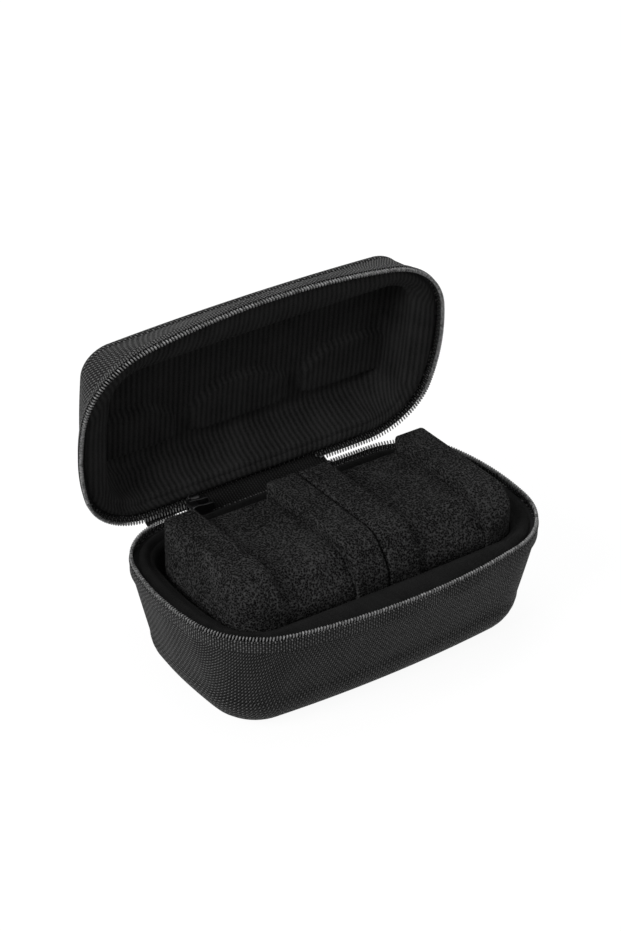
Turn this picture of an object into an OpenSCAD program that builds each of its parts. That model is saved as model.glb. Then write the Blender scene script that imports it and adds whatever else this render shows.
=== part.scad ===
// Zipped travel case for two watches: a moulded base and lid on a soft fabric hinge.
// Millimetres, +Z up. The origin is the middle of the flat foot under the base.
// X runs along the case, -Y is the front, +Y is the hinge side. The lid is drawn open.

/* [Plan along the zip] */

// Half of the length, middle to the teeth
half_length = 83.5; // [60:0.5:120]
// Middle to the teeth on the front side
front_half = 54; // [35:0.5:80]
// Middle to the teeth on the hinge side
back_half = 48.7; // [35:0.1:80]
// Rise of the bowed front side
front_bow = 14.2; // [2:0.2:20]
// Rise of the almost straight hinge side
back_bow = 0.4; // [0.2:0.1:6]
// Rise of the two bowed ends
end_bow = 11.7; // [2:0.1:16]
// Radius of the two front corners
front_corner = 35.4; // [15:0.2:40]
// Radius of the two hinge side corners
back_corner = 29.9; // [15:0.1:40]

/* [Base] */

// Depth of the base below the zip
base_depth = 52.4; // [35:0.2:80]
// Half length of the floor outline before its rounded edge
floor_half_length = 71; // [50:0.5:80]
// Half width of the floor outline before its rounded edge
floor_half_width = 35.5; // [25:0.5:48]
// Radius of the rounded bottom edge
floor_fillet = 18; // [6:0.5:20]

/* [Lid] */

// Height of the lid above the zip
lid_depth = 25.5; // [18:0.1:45]
// Half length of the flat top outline
top_half_length = 71.5; // [50:0.5:80]
// Half width of the flat top outline
top_half_width = 32.5; // [25:0.5:48]
// Radius of the top edge
top_fillet = 4.8; // [1:0.1:8]
// Angle the lid stands open, measured from closed
open_angle = 76.4; // [0:0.1:110]
// Tilt of the fold line along the case
fold_tilt = 5.77; // [0:0.01:8]

/* [Walls] */

// Woven outer cover
cover_thick = 0.8; // [0.4:0.1:1.5]
// Moulded foam shell under the cover
shell_thick = 3.3; // [2:0.1:5]
// Fleece lining
lining_thick = 0.8; // [0.4:0.1:1.5]
// Width of the inner ledge around the rim
ledge_width = 6.4; // [4:0.1:12]
// Distance the stiff edges stay back from the zip plane
rim_setback = 3.6; // [2.5:0.1:5]
// Height of the band along the base's rim
band_height = 6.3; // [5:0.1:12]
// Height of the band along the lid's rim
lid_band_height = 5; // [4.5:0.1:9]
// How far the lid's band leans in at its lower edge
band_lean = 1.6; // [0:0.1:1.9]
// Shape of the outer walls, hollow below 1 and full above it
wall_ease = 1.05; // [0.6:0.05:1.4]
// Height of the three moulded reliefs in the lid
relief_height = 2.2; // [1:0.1:3]
// Half width of a relief
relief_half = 23; // [18:0.5:24]
// Distance between the middles of two reliefs
relief_pitch = 52.5; // [50:0.5:56]
// Front edge of the reliefs
relief_edge = 2.3; // [-4:0.1:10]
// Middle relief's place along the lid
relief_shift = -2; // [-4:0.5:4]

/* [Zip] */

// Spacing of the teeth on one side
tooth_pitch = 2.65; // [1.2:0.05:4]
// Width of a tooth along the zip
tooth_width = 0.85; // [0.4:0.05:1.2]
// Depth of a tooth across the zip
tooth_depth = 2; // [1:0.1:3]
// Height of a tooth past the zip plane
tooth_reach = 0.4; // [0.1:0.05:0.8]
// Thickness of the woven zip tape
tape_thick = 0.75; // [0.4:0.05:1.2]
// Distance of the tape's edge from the zip plane
tape_gap = 1.9; // [1:0.1:3]
// Length of the slider
slider_length = 11; // [8:0.5:16]
// Middle of the parked slider along the case
slider_x = -34.5; // [-40:0.5:-34]
// Length of the pull
pull_length = 20; // [12:0.5:26]

/* [Hinge] */

// Half length of the fabric hinge
hinge_half = 27; // [15:0.5:29]
// Distance of the fold line outside the teeth
fold_out = 1.5; // [1:0.1:3]
// Depth of the fold line below the zip plane, at the middle
fold_down = 6.1; // [0:0.1:8]
// Radius of the rolled fold
fold_radius = 0.5; // [0.3:0.05:0.6]

/* [Watch pillows] */

// Room along the case between a pillow's outer end and the teeth
end_room = 18.9; // [18:0.1:30]
// Width of one cheek
cheek_width = 15; // [8:0.5:20]
// Height of the cheeks above the zip plane
pillow_top = 15.3; // [8:0.1:18]
// Room between the pillows' back face and the teeth
back_room = 19.2; // [18:0.1:28]
// Room between the front edge of the pillows' flat top and the teeth
front_room = 29; // [26:0.5:38]
// How much lower the core is than the cheeks
core_drop = 5; // [2:0.5:10]

/* [Hidden] */
fit_gap = 0.3;
pin_gap = 0.08;
side_points = 3;
corner_points = 6;
end_points = 2;
cord_out = tape_thick + 0.2;
hinge_gap = 2;
slider_travel = 8;
slider_height = 6;
slider_wall = 1.2;
slider_gap = 0.7;
tape_under = 0.3;
hinge_low = 12.5;
leaf_thick = 1.2;
flap_in = 0.8;
flap_thick = 0.6;
ledge_drop = 1.4;
lip_step = 0.8;
ledge_in = 2.6;
wall_in = ledge_in + ledge_width - 0.5;
wall_top = rim_setback + lip_step + ledge_drop + 0.7;
lid_panel_half_length = top_half_length - 8.5;
lid_panel_half_width = top_half_width - 3.5;
lid_fillet = 6;
fold_axis = [cos(fold_tilt), 0, sin(fold_tilt)];
fold_point = [0, back_half + fold_out, -fold_down];
stop_length = 2.2;
bar_radius = 0.7;
bar_out = 5.1;
bar_up = 1;
eye_radius = 1.9;
eye_width = 4;
pull_width = 6;
pull_thick = 1.4;
pillow_clear = 0.4;
pillow_split = 0.4;
pillow_width = half_length - end_room - pillow_split;
pillow_back = back_half - back_room;
pillow_front = front_half - front_room;

fabric_black = [0.11, 0.11, 0.12];
foam_black = [0.16, 0.16, 0.17];
lining_black = [0.13, 0.13, 0.14];
metal_dark = [0.3, 0.3, 0.32];

// Node to draw, or all of them

// One side of the plan: half length, half width, side radius, end radius, corner radius.
function side(a, b, long_bow, end_rise, corner) =
    [a, b, (a * a + long_bow * long_bow) / (2 * long_bow),
    (b * b + end_rise * end_rise) / (2 * end_rise), corner];

function grow(s, d) = [for (v = s) v + d];

// Centres and meeting angles of the three arcs that make a quarter of the plan.
function arcs(s) =
    let (c1 = [0, s[1] - s[2]])
    let (c2 = [s[0] - s[3], 0])
    let (gap = norm(c2 - c1))
    let (r1 = s[2] - s[4])
    let (r2 = s[3] - s[4])
    let (along = (r1 * r1 - r2 * r2 + gap * gap) / (2 * gap))
    let (u = (c2 - c1) / gap)
    let (c = c1 + u * along + [u.y, -u.x] * sqrt(r1 * r1 - along * along))
    [c1, c2, c, atan2(c.y - c2.y, c.x - c2.x), atan2(c.y - c1.y, c.x - c1.x)];

function arc(c, r, from, to, n) =
    [for (i = [0 : n - 1]) c + r * [cos(from + (to - from) * i / n), sin(from + (to - from) * i / n)]];

function quarter(s) =
    let (k = arcs(s))
    concat(arc(k[1], s[3], 0, k[3], end_points), arc(k[2], s[4], k[3], k[4], corner_points),
        arc(k[0], s[2], k[4], 90, side_points), [[0, s[1]]]);

// Closed outline, counter-clockwise from the right end.
function outline(front, back) =
    let (f = quarter(front))
    let (b = quarter(back))
    let (n = len(f) - 1)
    concat([for (i = [0 : n - 1]) b[i]], [for (i = [n : -1 : 1]) [-b[i].x, b[i].y]],
        [for (i = [0 : n - 1]) -f[i]], [for (i = [n : -1 : 1]) [f[i].x, -f[i].y]]);

front_side = side(half_length, front_half, front_bow, end_bow, front_corner);
back_side = side(half_length, back_half, back_bow, end_bow, back_corner);
floor_side = side(floor_half_length, floor_half_width, 0.4, 0.5, 17);
top_side = side(top_half_length, top_half_width, 0.6, 0.5, 8);
cavity_side = side(floor_half_length - shell_thick - cover_thick,
    floor_half_width - shell_thick - cover_thick, 0.4, 0.5, 13);
panel_side = side(lid_panel_half_length, lid_panel_half_width, 3, 2.5, 14);

function rim(d) = outline(grow(front_side, d), grow(back_side, d));
function even(s, d) = outline(grow(s, d), grow(s, d));
function mix(p, q, w) = [for (i = [0 : len(p) - 1]) p[i] * (1 - w) + q[i] * w];
function level(ring, z) = [for (p = ring) [p.x, p.y, z]];

// Rings of one skin from its floor up to a band at the rim, at distance t inside it.
function skin(depth, band, low, fillet, ease, top, t) =
    let (knee = pow((depth - fillet - band) / (depth - band), ease))
    concat([for (u = [90, 60, 30])
        let (d = t + (fillet - t) * (1 - cos(u)))
        level(mix(rim(top - d), even(low, -d), knee), -(depth - fillet + (fillet - t) * sin(u)))],
        [for (k = [0 : 4])
        let (f = k / 4)
        let (z = (depth - fillet) * (1 - f) + band * f)
        level(mix(rim(top - t), even(low, -t), pow((z - band) / (depth - band), ease)), -z)]);

function turned(rings) = [for (i = [len(rings) - 1 : -1 : 0]) rings[i]];

function base_outer(t) =
    concat(skin(base_depth, band_height, floor_side, floor_fillet, wall_ease, 0, t),
        [level(rim(-t), -rim_setback)]);
function lid_outer(t) =
    concat(skin(lid_depth, lid_band_height, top_side, top_fillet, wall_ease, -band_lean, t),
        [level(rim(-band_lean / 2 - t), -rim_setback)]);
function ledge(t) =
    [level(rim(-wall_in + 0.9 + 0.2 * t), -rim_setback - lip_step - ledge_drop + t),
    level(rim(-ledge_in), -rim_setback - lip_step + t)];
function base_inside(t) =
    skin(base_depth - shell_thick - cover_thick, wall_top, cavity_side,
        floor_fillet - shell_thick - cover_thick, 1, -wall_in, t);
function lid_inside(t) =
    skin(lid_depth - shell_thick - cover_thick, wall_top, panel_side, lid_fillet, 1, -wall_in, t);
function base_inner(t) = concat(base_inside(t), ledge(t));
function lid_inner(t) = concat(lid_inside(t), ledge(t));

// Closed skin up through one list of rings and back down through another. Both lists run from the
// floor to the rim, and their four-cornered faces are split along the same diagonal.
module loft(up, down = []) {
    rings = concat(up, turned(down));
    n = len(rings[0]);
    k = len(rings);
    walls = [for (i = [0 : k - 2]) for (j = [0 : n - 1])
        let (a = i * n + j, b = (i + 1) * n + j, c = (i + 1) * n + (j + 1) % n, d = i * n + (j + 1) % n)
        each i < len(up) - 1 ? [[a, b, c], [a, c, d]] : [[a, b, d], [b, c, d]]];
    caps = [[for (j = [0 : n - 1]) j], [for (j = [n - 1 : -1 : 0]) (k - 1) * n + j]];
    polyhedron([for (r = rings) each r], concat(walls, caps), 3);
}

// Closed hoop through a list of rings.
module hoop(rings) {
    n = len(rings[0]);
    k = len(rings);
    polyhedron([for (r = rings) each r], [for (i = [0 : k - 1]) for (j = [0 : n - 1]) each [
        [i * n + j, (i + 1) % k * n + j, (i + 1) % k * n + (j + 1) % n],
        [i * n + j, (i + 1) % k * n + (j + 1) % n, i * n + (j + 1) % n]]], 3);
}

// The zip plane is at z = 0 inside these two.
module on_base() {
    translate([0, 0, base_depth])
        children();
}

module on_lid() {
    translate([0, 0, base_depth])
        translate(fold_point)
            rotate(a = -open_angle, v = fold_axis)
                translate(-fold_point)
                    children();
}

module upside() {
    mirror([0, 0, 1])
        children();
}

// ---- Zip ----

// The zip leaves a window at the hinge.
module hinge_window(left) {
    translate([-left, 0, -50])
        cube([left + hinge_half + hinge_gap, 100, 100]);
}

module tape(left, low, lean) {
    difference() {
        hoop([level(rim(-lean), -low), level(rim(tape_thick - lean), -low),
            level(rim(tape_thick), -tape_gap - 1.5),
            level(rim(cord_out), -tape_gap - 1.3), level(rim(cord_out), -tape_gap - 0.2),
            level(rim(tape_thick), -tape_gap), level(rim(0), -tape_gap)]);
        hinge_window(left);
    }
}

// Length of the quarter's arcs, and the place at a distance from the end's middle.
function run(s) =
    let (k = arcs(s))
    [s[3] * k[3], s[4] * (k[4] - k[3]), s[2] * (90 - k[4])] * PI / 180;

function on_arc(c, r, t) = [c.x + r * cos(t), c.y + r * sin(t), t];

function place(s, far) =
    let (k = arcs(s))
    let (l = run(s))
    let (turn = 180 / PI)
    far < l[0] ? on_arc(k[1], s[3], far / s[3] * turn) :
    far < l[0] + l[1] ? on_arc(k[2], s[4], k[3] + (far - l[0]) / s[4] * turn) :
    on_arc(k[0], s[2], k[4] + (far - l[0] - l[1]) / s[2] * turn);

back_run = run(back_side)[0] + run(back_side)[1] + run(back_side)[2] - hinge_half - hinge_gap;
front_run = run(front_side)[0] + run(front_side)[1] + run(front_side)[2];
tooth_count = floor((2 * back_run + 2 * front_run - stop_length) / tooth_pitch) - 1;

function along(far) =
    far < back_run ? place(back_side, back_run - far) :
    far < back_run + front_run ?
        let (p = place(front_side, far - back_run))
        [p[0], -p[1], -p[2]] :
    far < back_run + 2 * front_run ?
        let (p = place(front_side, back_run + 2 * front_run - far))
        [-p[0], -p[1], p[2] + 180] :
    let (p = place(back_side, far - back_run - 2 * front_run))
    [-p[0], p[1], 180 - p[2]];

module teeth(start, left) {
    for (i = [0 : tooth_count - 1]) {
        p = along(stop_length + start + i * tooth_pitch);
        if (!(p[1] > 0 && p[0] < 0 && p[0] > -left - tooth_width))
            translate([p[0], p[1], (tooth_reach - tape_gap) / 2])
                rotate([0, 0, p[2]])
                    cube([tooth_depth, tooth_width, tape_gap + tooth_reach], center = true);
    }
}

module stop_block() {
    translate([hinge_half + hinge_gap, back_half - tooth_depth / 2, -tape_gap])
        cube([stop_length, tooth_depth, tape_gap - fit_gap / 2]);
}

module zipper_tape_lower() {
    color(fabric_black)
        on_base()
            tape(hinge_half + hinge_gap, band_height + tape_under, 0);
}

module zipper_teeth_lower() {
    color(metal_dark)
        on_base()
            teeth(tooth_pitch * 0.25, hinge_half + hinge_gap);
}

module zipper_stop_lower() {
    color(metal_dark)
        on_base()
            stop_block();
}

// The lid's tape stays clear of the slider and its short travel.
module zipper_tape_upper() {
    color(fabric_black)
        on_lid()
            upside()
                tape(slider_length / 2 - slider_x + slider_travel + 2, lid_band_height + tape_under,
                    band_lean);
}

module zipper_teeth_upper() {
    color(metal_dark)
        on_lid()
            upside()
                teeth(tooth_pitch * 0.75, slider_length / 2 - slider_x + slider_travel + 2);
}

module zipper_stop_upper() {
    color(metal_dark)
        on_lid()
            upside()
                stop_block();
}

// Slider: two plates joined by the wedge, with a bar across for the pull.
module slider_body() {
    inner = tooth_depth / 2 + slider_gap;
    color(metal_dark)
        on_base()
            translate([slider_x, back_half, 0]) {
                for (d = [-inner - slider_wall, inner])
                    translate([-slider_length / 2, d, -slider_height / 2])
                        cube([slider_length, slider_wall, slider_height]);
                translate([-slider_length / 2, -inner, tooth_reach + 0.4])
                    cube([slider_length * 0.4, 2 * inner, slider_height / 2 - tooth_reach - 0.4]);
                for (x = [-eye_width / 2 - fit_gap - 1.3, eye_width / 2 + fit_gap])
                    translate([x, inner + slider_wall, bar_up - bar_radius])
                        cube([1.3, bar_out - inner - slider_wall, 2 * bar_radius]);
                translate([-eye_width / 2 - fit_gap - 1.3, bar_out, bar_up])
                    rotate([0, 90, 0])
                        cylinder(h = eye_width + 2 * fit_gap + 2.6, r = bar_radius, $fn = 32);
            }
}

// Pull: an eye around the bar and a flat tab with a round end.
module pull_tab() {
    color(metal_dark)
        on_base()
            translate([slider_x, back_half + bar_out, bar_up])
                difference() {
                    union() {
                        translate([-eye_width / 2, 0, 0])
                            rotate([0, 90, 0])
                                cylinder(h = eye_width, r = eye_radius, $fn = 48);
                        translate([-eye_width / 2, -pull_thick / 2, -eye_radius - 2])
                            cube([eye_width, pull_thick, eye_radius + 2]);
                        translate([-pull_width / 2, -pull_thick / 2, -pull_length + pull_width / 2])
                            cube([pull_width, pull_thick, pull_length - pull_width / 2 - eye_radius - 1]);
                        translate([0, pull_thick / 2, -pull_length + pull_width / 2])
                            rotate([90, 0, 0])
                                cylinder(h = pull_thick, r = pull_width / 2, $fn = 48);
                    }
                    translate([-eye_width, 0, 0])
                        rotate([0, 90, 0])
                            cylinder(h = 2 * eye_width, r = bar_radius + pin_gap, $fn = 32);
                    translate([0, pull_thick, -pull_length + pull_width / 2])
                        rotate([90, 0, 0])
                            cylinder(h = 2 * pull_thick, r = pull_width / 4, $fn = 32);
                }
}

// ---- Soft hinge ----

module fold_roll(r, half) {
    translate(fold_point)
        rotate([0, 90 - fold_tilt, 0])
            cylinder(h = 2 * half, r = r, center = true, $fn = 32);
}

// Space above the fold line, or below it for a height below zero.
module past_fold(height) {
    translate(fold_point)
        rotate([0, -fold_tilt, 0])
            translate([-2 * hinge_half, -hinge_low, min(height, 0)])
                cube([4 * hinge_half, 2 * hinge_low, abs(height)]);
}

module hinge_leaf_lower() {
    color(fabric_black)
        on_base()
            difference() {
                intersection() {
                    translate([-hinge_half, back_half - hinge_low, -hinge_low])
                        cube([2 * hinge_half, 2 * hinge_low, hinge_low]);
                    loft(base_outer(-leaf_thick));
                    past_fold(-2 * hinge_low);
                }
                loft(base_outer(0));
                fold_roll(fold_radius, 2 * hinge_half);
            }
}

module hinge_fold() {
    color(fabric_black)
        on_base()
            fold_roll(fold_radius, hinge_half);
}

// The upper leaf hangs from the lid's back wall down to the fold.
module hinge_leaf_upper() {
    color(fabric_black)
        on_lid()
            difference() {
                union() {
                    translate([-hinge_half, back_half + flap_in, -hinge_low])
                        cube([2 * hinge_half, flap_thick, hinge_low + rim_setback + 1]);
                    translate([-hinge_half, back_half - 4, rim_setback])
                        cube([2 * hinge_half, 4 + flap_in + flap_thick, 1]);
                    intersection() {
                        translate([-hinge_half, back_half - hinge_low, rim_setback])
                            cube([2 * hinge_half, 2 * hinge_low, hinge_low - rim_setback]);
                        upside()
                            loft(lid_outer(-leaf_thick));
                    }
                }
                upside()
                    loft(lid_outer(0));
                past_fold(-2 * hinge_low);
                fold_roll(fold_radius + pin_gap, 2 * hinge_half);
            }
}

// ---- Base ----

module base_cover() {
    color(fabric_black)
        on_base()
            loft(base_outer(0), base_outer(cover_thick));
}

module base_shell() {
    color(foam_black)
        on_base()
            loft(concat(base_outer(cover_thick), [level(rim(-ledge_in), -rim_setback)]), base_inner(0));
}

module base_lining() {
    color(lining_black)
        on_base()
            loft(base_inner(0), base_inner(lining_thick));
}

// ---- Lid ----

module lid_cover() {
    color(fabric_black)
        on_lid()
            upside()
                loft(lid_outer(0), lid_outer(cover_thick));
}

// Three eight-sided reliefs; the outer two run into the end walls.
module relief(grow_by, low, high) {
    cut = 12.7 + grow_by * 0.6;
    half = relief_half + grow_by;
    top = relief_edge - grow_by;
    near = relief_pitch - half;
    end = lid_panel_half_length - 3.5;
    translate([relief_shift, 0, low])
        linear_extrude(high - low) {
            polygon([[-half, top + cut * 0.75], [-half + cut, top], [half - cut, top],
                [half, top + cut * 0.75], [half, 25], [-half, 25]]);
            for (m = [-1, 1])
                polygon([[m * near, top + cut * 0.75], [m * (near + cut), top],
                    [m * end - relief_shift, top], [m * end - relief_shift, 25], [m * near, 25]]);
        }
}

module lid_shell() {
    panel = lid_depth - shell_thick - cover_thick;
    color(foam_black)
        on_lid()
            union() {
                upside()
                    loft(concat(lid_outer(cover_thick), [level(rim(-ledge_in), -rim_setback)]),
                        lid_inner(0));
                relief(0, panel - relief_height, panel + 0.5);
            }
}

module lid_lining() {
    panel = lid_depth - shell_thick - cover_thick;
    color(lining_black)
        on_lid()
            difference() {
                union() {
                    upside()
                        loft(lid_inner(0), lid_inner(lining_thick));
                    relief(lining_thick, panel - relief_height - lining_thick, panel - 0.1);
                }
                relief(0, panel - relief_height, panel + 1);
            }
}

// ---- Watch pillows ----

// Room inside both linings with the lid closed, for what sits in the base.
module cavity() {
    clear = lining_thick + pillow_clear;
    loft(concat(base_inside(clear),
        [for (ring = turned(lid_inside(clear))) [for (p = ring) [p.x, p.y, -p.z]]]));
}

// Side view of a cheek or core, low and rounded at the front.
module pillow_slice(from, wide, drop, lift) {
    top = pillow_top - drop;
    front = pillow_front - drop * 0.4;
    floor_z = -base_depth + shell_thick + cover_thick + lining_thick + pillow_clear + lift;
    intersection() {
        translate([from, 0, 0])
            rotate([90, 0, 90])
                linear_extrude(wide)
                    polygon([[pillow_back - drop * 0.4, top], [pillow_back - drop * 0.4, floor_z],
                        [-front - 4, floor_z], [-front - 11.4, -4], [-front - 10.4, top - 11],
                        [-front - 8.2, top - 6.6], [-front - 4.8, top - 2.5], [-front - 2, top - 0.6],
                        [-front, top]]);
        cavity();
    }
}

module pillow_core(m) {
    color(foam_black)
        on_base()
            pillow_slice(m < 0 ? -pillow_split - pillow_width + cheek_width : pillow_split + cheek_width,
                pillow_width - 2 * cheek_width, core_drop, 4);
}

module cheek(m, outer) {
    near = outer ? pillow_width - cheek_width : 0;
    color(foam_black)
        on_base()
            pillow_slice(m < 0 ? -pillow_split - near - cheek_width : pillow_split + near,
                cheek_width, 0, 0);
}

module pillow_left_core() {
    pillow_core(-1);
}

module pillow_left_cheek_outer() {
    cheek(-1, true);
}

module pillow_left_cheek_inner() {
    cheek(-1, false);
}

module pillow_right_core() {
    pillow_core(1);
}

module pillow_right_cheek_outer() {
    cheek(1, true);
}

module pillow_right_cheek_inner() {
    cheek(1, false);
}

base_shell();
base_cover();
base_lining();
zipper_tape_lower();
zipper_teeth_lower();
zipper_stop_lower();
hinge_leaf_lower();
hinge_fold();
lid_shell();
lid_cover();
lid_lining();
zipper_tape_upper();
zipper_teeth_upper();
zipper_stop_upper();
hinge_leaf_upper();
slider_body();
pull_tab();
pillow_left_core();
pillow_left_cheek_outer();
pillow_left_cheek_inner();
pillow_right_core();
pillow_right_cheek_outer();
pillow_right_cheek_inner();
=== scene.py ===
"""Travel case for two wristwatches: woven cover, foam shell, lining, zip, soft hinge and foam pillows."""

import math
from functools import partial

import bpy
import numpy as np
from mathutils import Matrix


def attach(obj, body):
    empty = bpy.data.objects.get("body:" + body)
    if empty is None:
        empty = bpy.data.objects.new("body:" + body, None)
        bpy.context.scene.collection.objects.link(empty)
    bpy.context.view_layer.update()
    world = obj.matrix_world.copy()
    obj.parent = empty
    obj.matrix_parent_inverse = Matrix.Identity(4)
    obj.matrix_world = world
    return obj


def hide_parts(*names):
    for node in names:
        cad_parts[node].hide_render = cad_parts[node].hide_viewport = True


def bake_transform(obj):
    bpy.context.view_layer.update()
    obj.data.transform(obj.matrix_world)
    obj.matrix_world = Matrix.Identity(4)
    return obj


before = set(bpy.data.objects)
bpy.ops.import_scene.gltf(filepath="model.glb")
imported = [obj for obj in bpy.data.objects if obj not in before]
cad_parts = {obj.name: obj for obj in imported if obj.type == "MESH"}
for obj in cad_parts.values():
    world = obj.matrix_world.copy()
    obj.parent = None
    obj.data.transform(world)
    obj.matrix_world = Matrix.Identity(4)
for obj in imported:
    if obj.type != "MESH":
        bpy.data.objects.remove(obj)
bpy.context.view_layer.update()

bl_info = {
    "name": "Watch travel case",
    "version": (1, 0, 0),
    "blender": (4, 2, 0),
    "location": "View3D > Sidebar > Watch case",
    "description": "Dresses the zipped watch case with woven cloth, fleece, foam and a coil zip",
    "category": "Object",
}

MM = 0.001

# Sizes are in millimetres and angles in degrees, apart from the tilt of the fold. A plan is (half length,
# half width, bow of the long side, bow of the end, corner radius). Depths are from the zip's plane: the lid
# is drawn like the base, then turned over and opened.

# The zip line, which both rims follow: its front and its hinge side.
HALF_LENGTH = 83.5
FRONT_HALF = 54.0
BACK_HALF = 48.7
FRONT_BOW = 14.2
BACK_BOW = 0.4
END_BOW = 11.7
FRONT_CORNER = 35.4
BACK_CORNER = 29.9
FRONT = (HALF_LENGTH, FRONT_HALF, FRONT_BOW, END_BOW, FRONT_CORNER)
BACK = (HALF_LENGTH, BACK_HALF, BACK_BOW, END_BOW, BACK_CORNER)

# Outside of the base and the lid.
BASE_DEPTH = 52.4
FLOOR = (71.0, 35.5, 0.4, 0.5, 17.0)
FLOOR_FILLET = 18.0
LID_DEPTH = 25.5
TOP = (71.5, 32.5, 0.6, 0.5, 8.0)
TOP_FILLET = 4.8
BAND_HEIGHT = 6.3
LID_BAND = 5.0
BAND_LEAN = 1.6
WALL_EASE = 1.05

# The fold that the lid turns about, tilted so that the open lid hangs skewed.
OPEN_ANGLE = 76.4
FOLD_TILT = math.radians(5.77)
FOLD = np.array([0.0, 50.2, -6.1])
FOLD_AXIS = np.array([math.cos(FOLD_TILT), 0.0, math.sin(FOLD_TILT)])

# Layers of the wall, and the ledge behind the teeth.
COVER_THICK = 0.8
SHELL_THICK = 3.3
LINING_THICK = 0.8
WALL = COVER_THICK + SHELL_THICK
RIM_SETBACK = 3.6
LEDGE_IN = 2.6

# Inside: the mouth's plans at the front and the hinge side, the floor's plans, and the padded lip's levels.
BASE_MOUTH = ((72.3, 37.2, 1.6, 5.0, 18.0), (72.3, 39.7, 0.4, 5.0, 18.0))
LID_MOUTH = ((70.8, 36.6, 0.8, 3.0, 16.0), (70.8, 39.4, 0.4, 3.0, 16.0))
CAVITY = (66.9, 31.4, 0.4, 0.5, 13.0)
PANEL = (63.0, 29.0, 3.0, 2.5, 14.0)
PANEL_RINGS = 46
LID_FILLET = 6.0
LID_EASE = 2.3
WALL_TOP = 6.5
LIP_EDGE = 4.2
LIP_RIM = 2.8
LIP_CROWN = 0.8
LIP_ROUND = 1.8
LIP_STEP = 0.8
STEP_WIDTH = 1.2

# The three reliefs in the lid's panel.
RELIEF_HEIGHT = 3.0
RELIEF_HALF = 23.0
RELIEF_PITCH = 52.5
RELIEF_SHIFT = -2.0
RELIEF_FRONT = 2.3
RELIEF_BACK = 26.0
RELIEF_CUT = 12.7
RELIEF_RISE = 9.5
RELIEF_SLANT = 0.6
RELIEF_SOFT = 1.6
RELIEF_SKIRT = 0.9
RELIEF_SLOPE = 2.0

# Zip. Distances along it start at the middle of the hinge side.
TAPE_THICK = 0.75
TAPE_UNDER = 0.3
TAPE_GAP = 1.4
TAPE_STEPS = 420
TAPE_BEVEL = 0.2
TAPE_CORD = 0.6
CORD_IN = 0.4
CORD_DOWN = 0.75
TAPE_START = 27.3
ZIP_START = 29.0
STOP_LENGTH = 2.2
STOP_HALF = 1.0
STOP_DOWN = 0.1
TURN_HALF_WIDTH = 0.72
TURN_HALF_WIRE = 0.3
TURN_REACH = 0.4
TURN_SLANT = 0.22
TURN_POWER = 0.55

# Hinge strip: its ends, the tail behind the slider with the shares of the strip's path that it covers,
# and where the strip starts to bend.
HINGE_LEFT = -27.0
HINGE_RIGHT = 31.5
TAIL_END = -54.0
TAIL_SPAN = (0.44, 0.78)
SLIDER_CLEAR = 0.5
SLIDER_MARGIN = 0.6
HINGE_RAMP = 0.8
HINGE_BEND = 2.2
HINGE_THICK = 0.9
HINGE_STEPS = 90

# Slider, the loop on it and its pull.
SLIDER_X = -34.5
SLIDER_LENGTH = 11.0
SLIDER_NOSE = 3.0
SLIDER_TAIL = 2.3
SLIDER_WALL = 1.2
SLIDER_EDGE = 0.45
CHANNEL = 1.7
BAR_OUT = 5.1
BAR_UP = 1.0
BAR_RADIUS = 0.7
BAR_SHARE = 0.97
LOOP_HALF = 2.95
LOOP_BEND = 1.0
LOOP_FOOT = 0.4
BRIDGE_OVER = 0.3
PULL_LENGTH = 20.0
PULL_HALF = 3.0
PULL_NECK = 2.0
PULL_THICK = 1.4
PULL_EDGE = 0.35
PULL_HOLE = 1.5
EYE_RADIUS = 1.9
EYE_CLEAR = 0.08

# Pillows, whose top stands above the zip's plane, and the room that the base's lining leaves them.
PILLOW_TOP = 15.3
PILLOW_WIDTH = 64.2
PILLOW_GAP = 0.4
PILLOW_BACK = 29.5
CORE_BACK = 27.5
CORE_DROP = 5.0
CORE_LIFT = 4.0
CHEEK_WIDTH = 15.0
CHEEK_BULGE = 3.6
CHEEK_EDGE = 1.6
CORE_EDGE = 0.6
LINING_CLEAR = 0.5
ROOM_TOP = 71.0
ROOM_FLOOR = 65.6


def linear(text):
    """A colour written as sRGB hex, as linear RGBA: c / 12.92 up to 0.04045, and above that
    ((c + 0.055) / 1.055) to the power 2.4."""
    c = np.array([int(text[i : i + 2], 16) for i in (1, 3, 5)]) / 255
    low = c / 12.92
    high = ((c + 0.055) / 1.055) ** 2.4
    return (*np.where(c <= 0.04045, low, high).tolist(), 1.0)


# ---------------------------------------------------------------- curves

def smooth_step(x):
    """0 below 0, 1 above 1, and x * x * (3 - 2x) between."""
    x = np.clip(x, 0, 1)
    return x * x * (3 - 2 * x)


def mixed(top, low, share):
    """The first value or outline, turned into the second by a share."""
    return top * (1 - share) + low * share


def distances(points):
    """How far each point of a path is from its start, as the sum of the chords before it."""
    return np.concatenate([[0], np.cumsum(np.linalg.norm(np.diff(points, axis=0), axis=1))])


def inward_normals(plan):
    """Unit normals to the left of a closed plan, inward where it runs counter-clockwise: the chord between
    each point's neighbours, turned a quarter."""
    tangent = np.roll(plan, -1, 0) - np.roll(plan, 1, 0)
    tangent /= np.linalg.norm(tangent, axis=1, keepdims=True)
    return np.stack([-tangent[:, 1], tangent[:, 0]], 1)


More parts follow.
